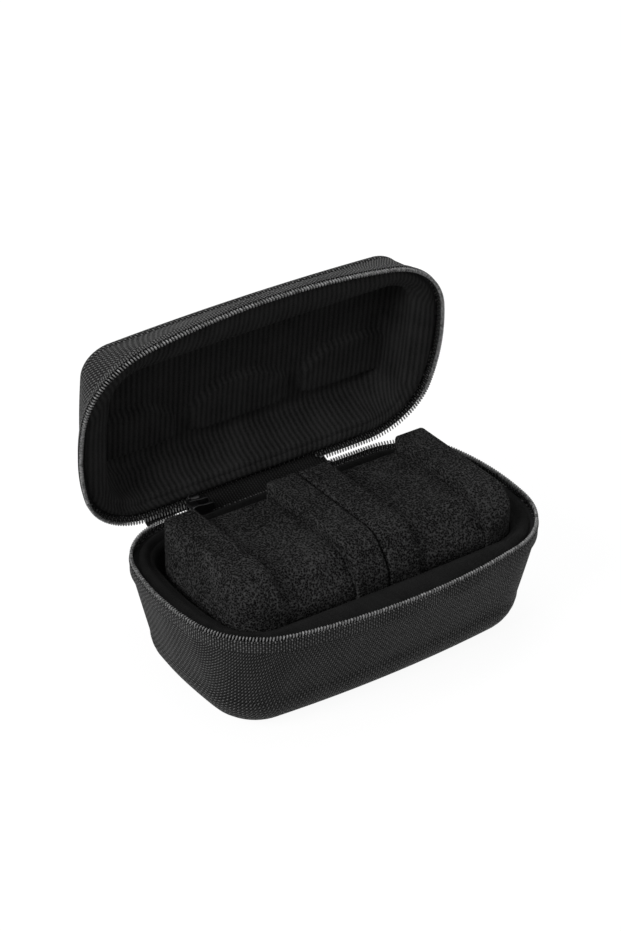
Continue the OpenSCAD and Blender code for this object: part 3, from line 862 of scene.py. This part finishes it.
def hinge_views(x, nose):
    """Closed side views of the strip at places along x: the share of the middle line that the strip covers
    there, half a thickness to either side of it, with ends rounded through the angles in nose."""
    whole = hinge_path()[0]
    slider_end = SLIDER_X - SLIDER_LENGTH / 2 - SLIDER_MARGIN
    lows = np.interp(x, [slider_end - HINGE_RAMP, slider_end, HINGE_LEFT - HINGE_RAMP, HINGE_LEFT],
                     [TAIL_SPAN[0], SLIDER_CLEAR, SLIDER_CLEAR, 0])
    highs = np.interp(x, [HINGE_LEFT - HINGE_RAMP, HINGE_LEFT], [TAIL_SPAN[1], 1])
    station = np.linspace(0, 1, HINGE_STEPS)
    views = []
    for low, high in zip(lows, highs):
        at = low + (high - low) * station
        path = np.stack([np.interp(at, station, whole[:, k]) for k in (0, 1)], 1)
        tangent = np.gradient(path, axis=0)
        tangent *= HINGE_THICK / 2 / np.linalg.norm(tangent, axis=1, keepdims=True)
        normal = np.stack([tangent[:, 1], -tangent[:, 0]], 1)
        tip = path[-1] - normal[-1] * np.sin(nose) + tangent[-1] * np.cos(nose)
        tail = path[0] + normal[0] * np.sin(nose) - tangent[0] * np.cos(nose)
        views.append(np.vstack([path + normal, tip, (path - normal)[::-1], tail]))
    return np.array(views)


def hinge_strip(name):
    """The strip's side views carried along x. Beside the parked slider its lid side runs on as a narrow tail
    that backs the lid's zip. Past the fold every point turns about the fold line by OPEN_ANGLE times a smooth
    step of its height above that tilted line. Also gives the length of the strip's path."""
    nose = np.radians(np.linspace(-60, 60, 5))[:, None]
    x = np.linspace(TAIL_END, HINGE_RIGHT, 115)
    views = hinge_views(x, nose)
    rows, columns = views.shape[:2]
    points = np.concatenate([np.broadcast_to(x[:, None, None], (rows, columns, 1)), views], 2)
    above = (points - FOLD) @ np.array([-FOLD_AXIS[2], 0, FOLD_AXIS[0]])
    share = smooth_step((above + HINGE_BEND) / (2 * HINGE_BEND))[..., None]
    points = turned(points, np.radians(-OPEN_ANGLE) * share)
    # Both ends are closed by quads across the thickness, and by a fan over each rounded nose.
    n, m = HINGE_STEPS, len(nose)
    front = np.arange(n)
    back = n + m + n - 1 - front
    across = np.stack([front[:-1], front[1:], back[1:], back[:-1]], 1)
    noses = (np.arange(n - 1, n + m + 1), np.append(np.arange(n + m + n - 1, columns), 0))
    fans = np.vstack([np.stack([np.full(len(e) - 2, e[0]), e[1:-1], e[2:]], 1) for e in noses])
    last = (rows - 1) * columns
    quads = np.vstack([across, across[:, ::-1] + last])
    tris = np.vstack([fans[:, ::-1], fans + last])
    closed = np.concatenate([views, views[:, :1]], 1)
    around = np.cumsum(np.linalg.norm(np.diff(closed, axis=1, prepend=closed[:, :1]), axis=2), 1)
    cloth = np.stack([np.broadcast_to(x[:, None], around.shape), around], 2) * MM
    uv = [grid_uv(cloth)[:, ::-1], np.zeros((len(quads), 4, 2)), np.zeros((len(tris), 3, 2))]
    faces = [lattice(rows, columns)[:, ::-1], quads, tris]
    return build(name, placed(False, points.reshape(-1, 3)), faces, uv, material("webbing")), hinge_path()[1]


# ---------------------------------------------------------------- slider and pull

def upright(points):
    """Points of a plate drawn flat, stood up: y and z change places."""
    return points[..., [0, 2, 1]]


def carried(plan, section):
    """Grid of a section (inset, height) carried round a plan: each section point lies inset along the plan's
    inward normal. Gives points as plan x, plan y, height."""
    flat = plan[:, None] + inward_normals(plan)[:, None] * section[None, :, :1]
    return np.concatenate([flat, np.broadcast_to(section[None, :, 1:], (*flat.shape[:2], 1))], 2)


def rounded_edge(edge, low, high, steps=5):
    """Section up the outside of a plate, with a quarter circle of radius edge at the bottom and the top."""
    u = np.radians(np.linspace(0, 90, steps))
    foot = np.stack([edge * (1 - np.sin(u)), low + edge * (1 - np.cos(u))], 1)
    head = np.stack([edge * (1 - np.cos(u)), high - edge * (1 - np.sin(u))], 1)
    return np.vstack([foot, head])


def plate(outline_points, low, high, edge):
    """An upright plate of any counter-clockwise outline with rounded edges, both faces closed with a fan."""
    grid = carried(outline_points, rounded_edge(edge, low, high))
    rows, columns = grid.shape[:2]
    middle = outline_points.mean(0)
    points = np.vstack([grid.reshape(-1, 3), np.append(middle, low), np.append(middle, high)])
    ring = np.arange(rows) * columns
    tris = np.vstack([fan(ring, rows * columns, False), fan(ring + columns - 1, rows * columns + 1, True)])
    return upright(points), lattice(rows, columns, wrap_rows=True, wrap_columns=False), tris


def tube(path, side, up, radius, steps=14):
    """A round bar along a path, its rings spanned by the side and up directions, with closed ends."""
    u = np.radians(np.arange(steps) * 360 / steps)
    circle = np.cos(u)[None, :, None] * side[:, None] + np.sin(u)[None, :, None] * up[None, None]
    rings = path[:, None] + circle * radius
    points = np.vstack([rings.reshape(-1, 3), path[0], path[-1]])
    return points, lattice(len(path), steps), end_fans(len(path), steps)


def on_slider(points):
    """Points drawn from the slider's middle on the teeth line."""
    return placed(False, points + np.array([SLIDER_X, BACK_HALF, 0]))


def slider_loop():
    """The loop for the pull: a round bar out from one cheek, along the zip and back, with bent corners."""
    bend = np.radians(np.linspace(180, 90, 8))
    centre = np.array([LOOP_BEND - LOOP_HALF, BAR_OUT - LOOP_BEND])
    corner = centre + LOOP_BEND * np.stack([np.cos(bend), np.sin(bend)], 1)
    left = np.vstack([[-LOOP_HALF, CHANNEL + LOOP_FOOT], [-LOOP_HALF, 3.4], corner])
    path = np.vstack([left, (left * [-1, 1])[::-1]])
    path = np.column_stack([path, np.full(len(path), BAR_UP)])
    along = np.gradient(path, axis=0)
    along /= np.linalg.norm(along, axis=1, keepdims=True)
    up = np.array([0.0, 0.0, 1.0])
    return tube(path, np.cross(up, along), up, BAR_RADIUS * BAR_SHARE)


def slider(name):
    """Two cheeks with a wide nose and a narrow tail, the bridge at the nose and the loop for the pull.
    A cheek's half height is SLIDER_TAIL with a smooth step to SLIDER_NOSE, times (1 - |t| ** 8) ** 0.5,
    which rounds its ends."""
    t = np.linspace(-1, 1, 40)
    half = mixed(SLIDER_TAIL, SLIDER_NOSE, smooth_step((0.3 - t) / 0.9)) * (1 - np.abs(t) ** 8) ** 0.5
    edge_line = np.stack([t * SLIDER_LENGTH / 2, half], 1)
    cheek = np.vstack([edge_line[1:-1] * [1, -1], edge_line[:0:-1], edge_line[:1]])
    bridge = rounded([[-5.3, 0.8], [-1.3, 0.8], [-1.3, 2.5], [-5.0, 2.8]], [0.3] * 4, 5, 0.3)
    points, quads, tris = joined([
        plate(cheek, -CHANNEL - SLIDER_WALL, -CHANNEL, SLIDER_EDGE),
        plate(cheek, CHANNEL, CHANNEL + SLIDER_WALL, SLIDER_EDGE),
        plate(bridge, -CHANNEL - BRIDGE_OVER, CHANNEL + BRIDGE_OVER, 0.1),
        slider_loop(),
    ])
    return build(name, on_slider(points), [quads, tris], None, material("zinc"), sharp=35, flip=True)


def pull(name):
    """A stamped tab with a round end and a hole, on a rolled eye that turns on the slider's loop.
    The tab's half width is PULL_NECK with a smooth step to PULL_HALF."""
    hole = np.array([0.0, -PULL_LENGTH + PULL_HALF])
    down = np.linspace(-1.6, -PULL_LENGTH + PULL_HALF, 40)
    wide = mixed(PULL_NECK, PULL_HALF, smooth_step((-down - 3.0) / 2.5))
    end = np.radians(np.linspace(0, -180, 26))[1:-1]
    right = np.stack([wide, down], 1)
    tip = hole + PULL_HALF * np.stack([np.cos(end), np.sin(end)], 1)
    plan = np.vstack([right, tip, (right * [-1, 1])[::-1]])[::-1]
    section = rounded_edge(PULL_EDGE, -PULL_THICK / 2, PULL_THICK / 2)
    hole_plan = hole + (plan - hole) / np.linalg.norm(plan - hole, axis=1, keepdims=True) * PULL_HOLE
    bore = carried(hole_plan[::-1], section)[::-1, ::-1]
    grid = np.concatenate([carried(plan, section), bore], 1)
    rows, columns = grid.shape[:2]
    tab_quads = lattice(rows, columns, wrap_rows=True)[:, ::-1]
    u = np.radians(np.arange(0, 360, 10))
    ring = np.stack([np.cos(u), np.sin(u)], 1)
    inside = BAR_RADIUS + EYE_CLEAR
    corners = [[inside, -PULL_NECK], [EYE_RADIUS, -PULL_NECK], [EYE_RADIUS, PULL_NECK], [inside, PULL_NECK]]
    eye_section = rounded(corners, [0.2, 0.45, 0.45, 0.2], 5, 0.35)
    eye = np.concatenate([np.broadcast_to(eye_section[None, :, 1:], (len(u), len(eye_section), 1)),
                          ring[:, None] * eye_section[None, :, :1]], 2)
    eye_quads = lattice(len(u), len(eye_section), wrap_rows=True)
    points = np.vstack([upright(grid).reshape(-1, 3), eye.reshape(-1, 3)]) + [0, BAR_OUT, BAR_UP]
    quads = np.vstack([tab_quads, eye_quads + rows * columns])
    return build(name, on_slider(points), [quads], None, material("zinc"), sharp=35)


# ---------------------------------------------------------------- foam pillows

def wall_limits():
    """Plan limits of the room inside the lining at its top and its floor, each as front and back tables
    sorted for interpolation."""
    gap = LINING_THICK + LINING_CLEAR
    out = []
    for plan in (mouth(False, -gap), even(CAVITY, -gap)):
        sides = (plan[plan[:, 1] <= 0], plan[plan[:, 1] >= 0])
        out.append([side[np.argsort(side[:, 0])].T for side in sides])
    return out


TOP_LIMITS, FLOOR_LIMITS = wall_limits()


def kept_inside(points):
    """Moves points of a pillow inside the tapered, rounded room: x is held between the ends and y between the
    front and back walls at that x and z, and the rounded bottom edge takes off r * (1 - cos) more."""
    x, y, z = points[..., 0], points[..., 1], points[..., 2]
    depth = BASE_DEPTH - WALL
    share = np.clip((-z - WALL_TOP) / (depth - WALL_TOP), 0, 1)
    fillet = FLOOR_FILLET - WALL - LINING_THICK
    below = np.clip((-z - (depth - LINING_THICK - fillet)) / fillet, 0, 1)
    round_in = fillet * (1 - np.sqrt(1 - below**2))
    wide = np.sign(x) * np.minimum(np.abs(x), mixed(ROOM_TOP, ROOM_FLOOR, share) - round_in)
    front, back = (mixed(np.interp(wide, *TOP_LIMITS[k]), np.interp(wide, *FLOOR_LIMITS[k]), share)
                   for k in (0, 1))
    return np.stack([wide, np.clip(y, front + round_in, back - round_in), z], -1)


def foam_block(name, ring, x0, x1, edge, bulge):
    """A foam block: a clockwise side view carried along x. Quarter circles round the edges of its ends: a
    ring moves in by edge * (1 - sin(u)) while it comes edge * (1 - cos(u)) from the end. Each end face swells
    by its bulge times (1 - s ** 5), where s is the share of the way from its middle to its edge."""
    inward = -inward_normals(ring)
    u = np.radians(np.linspace(90, 0, 8))
    near = x0 + edge * (1 - np.cos(u))
    inset = edge * (1 - np.sin(u))
    stations = np.concatenate([near[::-1], np.linspace(x0 + edge, x1 - edge, 12)[1:-1], x0 + x1 - near])
    insets = np.concatenate([inset[::-1], np.zeros(10), inset])
    middle = ring.mean(0)
    face = ring + inward * edge
    shares = (0.08, 0.3, 0.5, 0.65, 0.78, 0.87, 0.94)
    faces = [(1 - s**5, middle + (face - middle) * s) for s in shares]
    views = [(x0 - bulge[0] * swell, view) for swell, view in faces]
    views += [(x, ring + inward * d) for x, d in zip(stations, insets)]
    views += [(x1 + bulge[1] * swell, view) for swell, view in faces[::-1]]
    grid = np.array([np.column_stack([np.full(len(view), x), view]) for x, view in views])
    points = kept_inside(np.vstack([grid.reshape(-1, 3), grid[0].mean(0), grid[-1].mean(0)]))
    rows, columns = grid.shape[:2]
    return build(name, placed(False, points), [lattice(rows, columns), end_fans(rows, columns)],
                 None, material("foam"), sharp=0)


# ---------------------------------------------------------------- settings

class WatchCaseSettings(bpy.types.PropertyGroup):
    """Sizes and colours that a user may change"""
    weave_pitch: bpy.props.FloatProperty(
        name="Cover yarn spacing", description="Distance between yarns of the cover",
        default=0.00135, min=0.0005, max=0.004, unit="LENGTH")
    rib_spacing: bpy.props.FloatProperty(
        name="Rib spacing", description="Distance between ribs of the lid's knit",
        default=0.0024, min=0.0005, max=0.006, unit="LENGTH")
    foam_cell: bpy.props.FloatProperty(
        name="Foam cell", description="Size of the foam's cells",
        default=0.0008, min=0.0003, max=0.003, unit="LENGTH")
    tooth_pitch: bpy.props.FloatProperty(
        name="Coil pitch", description="Distance between turns of the zip's coil on one side",
        default=0.0013, min=0.0008, max=0.003, unit="LENGTH")
    cover_colour: bpy.props.StringProperty(
        name="Cover colour", description="Colour of the cover's yarns", default="#161616")
    # The cover's highlight is painted: it is the colour given to the yarns' crowns.
    cover_light: bpy.props.StringProperty(
        name="Cover highlight", description="Colour of the yarns' crowns", default="#6c6c6c")
    foam_colour: bpy.props.StringProperty(
        name="Foam colour", description="Colour of the pillows", default="#0d0d0d")
    # The foam's highlight is painted: it is the colour given to the cell edges.
    foam_light: bpy.props.StringProperty(
        name="Foam highlight", description="Colour of the cell edges", default="#484848")


class CASE_OT_base(bpy.types.Operator):
    """Cover, shell and lining of the base"""
    bl_idname = "watch_case.base"
    bl_label = "Base"

    def execute(self, context):
        body_pieces(False)
        return {"FINISHED"}


class CASE_OT_lid(bpy.types.Operator):
    """Cover, shell and lining of the lid"""
    bl_idname = "watch_case.lid"
    bl_label = "Lid"

    def execute(self, context):
        body_pieces(True)
        return {"FINISHED"}


class CASE_OT_zip(bpy.types.Operator):
    """Zip tapes, coils and end stops on both halves"""
    bl_idname = "watch_case.zip"
    bl_label = "Zip"

    def execute(self, context):
        pitch = context.scene.watch_case.tooth_pitch / MM
        for lid, body, half in ((False, "base", "lower"), (True, "lid", "upper")):
            dress(zip_tape("zip_tape_" + half + "_woven", lid), "zip_tape", body, "zipper_tape_" + half)
            dress(coil("zip_coil_" + half, lid, pitch), "zip_teeth", body, "zipper_teeth_" + half)
            dress(end_stop("zip_end_stop_" + half, lid), "zip_teeth", body, "zipper_stop_" + half)
        return {"FINISHED"}


class CASE_OT_hinge(bpy.types.Operator):
    """Soft hinge strip from the base to the lid"""
    bl_idname = "watch_case.hinge"
    bl_label = "Hinge strip"

    def execute(self, context):
        strip, length = hinge_strip("hinge_strip_webbing")
        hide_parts("hinge_leaf_lower", "hinge_fold", "hinge_leaf_upper")
        # The bend runs up across the fold line, leaning out at 3 to 4, HINGE_BEND to either side.
        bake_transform(strip)
        return {"FINISHED"}


class CASE_OT_slider(bpy.types.Operator):
    """Zip slider and its pull"""
    bl_idname = "watch_case.slider"
    bl_label = "Slider and pull"

    def execute(self, context):
        dress(slider("zip_slider_body"), "slider_metal", "slider", "slider_body")
        dress(pull("zip_pull_tab"), "slider_metal", "pull", "pull_tab")
        return {"FINISHED"}


class CASE_OT_pillows(bpy.types.Operator):
    """Two foam watch pillows, each a low core between two cheeks"""
    bl_idname = "watch_case.pillows"
    bl_label = "Watch pillows"

    def execute(self, context):
        floor = -BASE_DEPTH + WALL + LINING_THICK + PILLOW_GAP
        cheek = rounded([(PILLOW_BACK, PILLOW_TOP), (PILLOW_BACK, floor), (-29, floor), (-36.4, -4),
                         (-35.4, 4.3), (-25, PILLOW_TOP)], [1.6, 6, 6, 9, 14, 12])
        core_top, core_floor = PILLOW_TOP - CORE_DROP, floor + CORE_LIFT
        core = rounded([(CORE_BACK, core_top), (CORE_BACK, core_floor), (-27, core_floor), (-34.4, -4),
                        (-33.4, -0.7), (-23, core_top)], [4, 6, 6, 8, 3, 12])
        ends = PILLOW_GAP + np.array([0, CHEEK_WIDTH, PILLOW_WIDTH - CHEEK_WIDTH, PILLOW_WIDTH])
        flat = (0, 0)
        for sign, side in ((-1, "left"), (1, "right")):
            swell = (0, CHEEK_BULGE) if sign > 0 else (CHEEK_BULGE, 0)
            parts = (("cheek_inner", cheek, CHEEK_EDGE, flat), ("core", core, CORE_EDGE, flat),
                     ("cheek_outer", cheek, CHEEK_EDGE, swell))
            for k, (part, view, edge, bulge) in enumerate(parts):
                piece = "pillow_" + side + "_" + part
                x0, x1 = sorted(sign * ends[k : k + 2])
                block = foam_block(piece + "_foam", view, x0, x1, edge, bulge)
                dress(block, "pillow_foam", "pillow_" + side, piece)
        return {"FINISHED"}


class CASE_OT_stage(bpy.types.Operator):
    """Pale floor, soft lamps and the camera"""
    bl_idname = "watch_case.stage"
    bl_label = "Stage"

    def execute(self, context):
        make_camera()
        make_lights()
        make_floor()
        return {"FINISHED"}


# ---------------------------------------------------------------- stage

# The camera's turn, tilt and roll, what it looks at from how far away, its focal length and the height of
# its picture in pixels, and the height of its sensor. Lamps are placed in metres.
CAMERA_ANGLES = (-35.40, 31.44, 0.65)
CAMERA_TARGET = (21.5, 49.7, BASE_DEPTH)
CAMERA_DISTANCE = 1096.6
FOCAL_PIXELS = 2600
PICTURE_PIXELS = 931
SENSOR = 36
LAMP_TARGET = np.array([0, 0, 0.05])
FLOOR_RADIUS = 4000
WHITE = (1, 1, 1, 1)


def make_camera():
    """Camera at the target plus the distance times the view's back direction, rolled about that direction."""
    azimuth, elevation, roll = (math.radians(v) for v in CAMERA_ANGLES)
    flat = math.cos(elevation)
    back = np.array([math.sin(azimuth) * flat, -math.cos(azimuth) * flat, math.sin(elevation)])
    right = np.cross(-back, [0, 0, 1])
    right /= np.linalg.norm(right)
    up = np.cross(right, -back)
    camera = bpy.data.cameras.new("camera")
    camera.lens = FOCAL_PIXELS * SENSOR / PICTURE_PIXELS
    camera.sensor_width = SENSOR
    camera.clip_start = 0.05
    camera.clip_end = 20
    obj = bpy.data.objects.new("camera", camera)
    turn = np.eye(4)
    turn[:3, 0] = math.cos(roll) * right + math.sin(roll) * up
    turn[:3, 1] = -math.sin(roll) * right + math.cos(roll) * up
    turn[:3, 2] = back
    turn[:3, 3] = (np.array(CAMERA_TARGET) + back * CAMERA_DISTANCE) * MM
    bpy.context.scene.collection.objects.link(obj)
    obj.matrix_world = Matrix(turn.tolist())
    bpy.context.scene.camera = obj


def lamp(name, place, size, power):
    """A round soft lamp that faces the lamps' target: its back axis runs from there to its place."""
    light = bpy.data.lights.new(name, "AREA")
    light.shape = "DISK"
    light.size = size
    light.energy = power
    obj = bpy.data.objects.new(name, light)
    bpy.context.scene.collection.objects.link(obj)
    z = np.array(place) - LAMP_TARGET
    z /= np.linalg.norm(z)
    x = np.cross([0, 0, 1], z)
    x /= np.linalg.norm(x)
    turn = np.eye(4)
    turn[:3, 0], turn[:3, 1], turn[:3, 2], turn[:3, 3] = x, np.cross(z, x), z, place
    obj.matrix_world = Matrix(turn.tolist())


def seen(add):
    """1 for rays that come from the camera, a mirror or glass, and 0 for those that only gather light."""
    path = add("LightPath")
    indirect = (path.outputs["Is Glossy Ray"], path.outputs["Is Transmission Ray"])
    mirrored = add("Math", indirect, operation="MAXIMUM")
    return add("Math", (path.outputs["Is Camera Ray"], mirrored), operation="MAXIMUM")


def make_lights():
    """A strong lamp from the left, a weak one from the right, one above, and a world that looks white."""
    lamp("key", (-1.8, -0.3, 1.2), 1.2, 27)
    lamp("fill", (1.1, -1.6, 0.9), 1.4, 1.2)
    lamp("top", (0.1, 0.4, 1.9), 1.4, 9)
    world = bpy.data.worlds.new("studio")
    bpy.context.scene.world = world
    world.use_nodes = True
    world.node_tree.nodes.clear()
    add = partial(node, world.node_tree)
    soft = add("Background", {"Color": WHITE, "Strength": 0.3})
    white = add("Background", {"Color": WHITE, "Strength": 1.0})
    add("OutputWorld", {"Surface": add("MixShader", (seen(add), soft, white))})


def make_floor():
    """A round pale floor that keeps the case's soft shadow and meets the white background."""
    t = np.radians(np.arange(0, 360, 5))
    ring = np.stack([np.cos(t), np.sin(t), np.zeros(len(t))], 1)
    points = np.vstack([ring * FLOOR_RADIUS, [[0, 0, 0]]])
    floor, add = blank("pale floor")
    paint = add("BsdfDiffuse", {"Color": (0.12, 0.12, 0.12, 1)})
    strength = add("Math", (seen(add), 0.935), operation="MULTIPLY")
    glow = add("Emission", {"Color": WHITE, "Strength": strength})
    add("OutputMaterial", {"Surface": add("AddShader", (paint, glow))})
    build("floor", points, [fan(np.arange(len(t)), len(t), True)], None, floor, sharp=0)


class CASE_PT_panel(bpy.types.Panel):
    """The case's settings, and a button for each of its operators"""
    bl_idname = "CASE_PT_panel"
    bl_label = "Watch case"
    bl_space_type = "VIEW_3D"
    bl_region_type = "UI"
    bl_category = "Watch case"

    def draw(self, context):
        for name in WatchCaseSettings.__annotations__:
            self.layout.prop(context.scene.watch_case, name)
        for operator in OPERATORS:
            self.layout.operator(operator.bl_idname)


OPERATORS = (
    CASE_OT_stage, CASE_OT_base, CASE_OT_lid, CASE_OT_zip, CASE_OT_hinge, CASE_OT_slider, CASE_OT_pillows,
)
CLASSES = (WatchCaseSettings, *OPERATORS, CASE_PT_panel)


def register():
    """Adds the settings, operators and panel."""
    for cls in CLASSES:
        bpy.utils.register_class(cls)
    bpy.types.Scene.watch_case = bpy.props.PointerProperty(type=WatchCaseSettings)


def unregister():
    """Takes away what register() added."""
    del bpy.types.Scene.watch_case
    for cls in reversed(CLASSES):
        bpy.utils.unregister_class(cls)


def main():
    register()
    bpy.context.scene.view_settings.view_transform = "Standard"
    for operator in OPERATORS:
        group, action = operator.bl_idname.split(".")
        getattr(getattr(bpy.ops, group), action)()


if __name__ == "__main__":
    main()
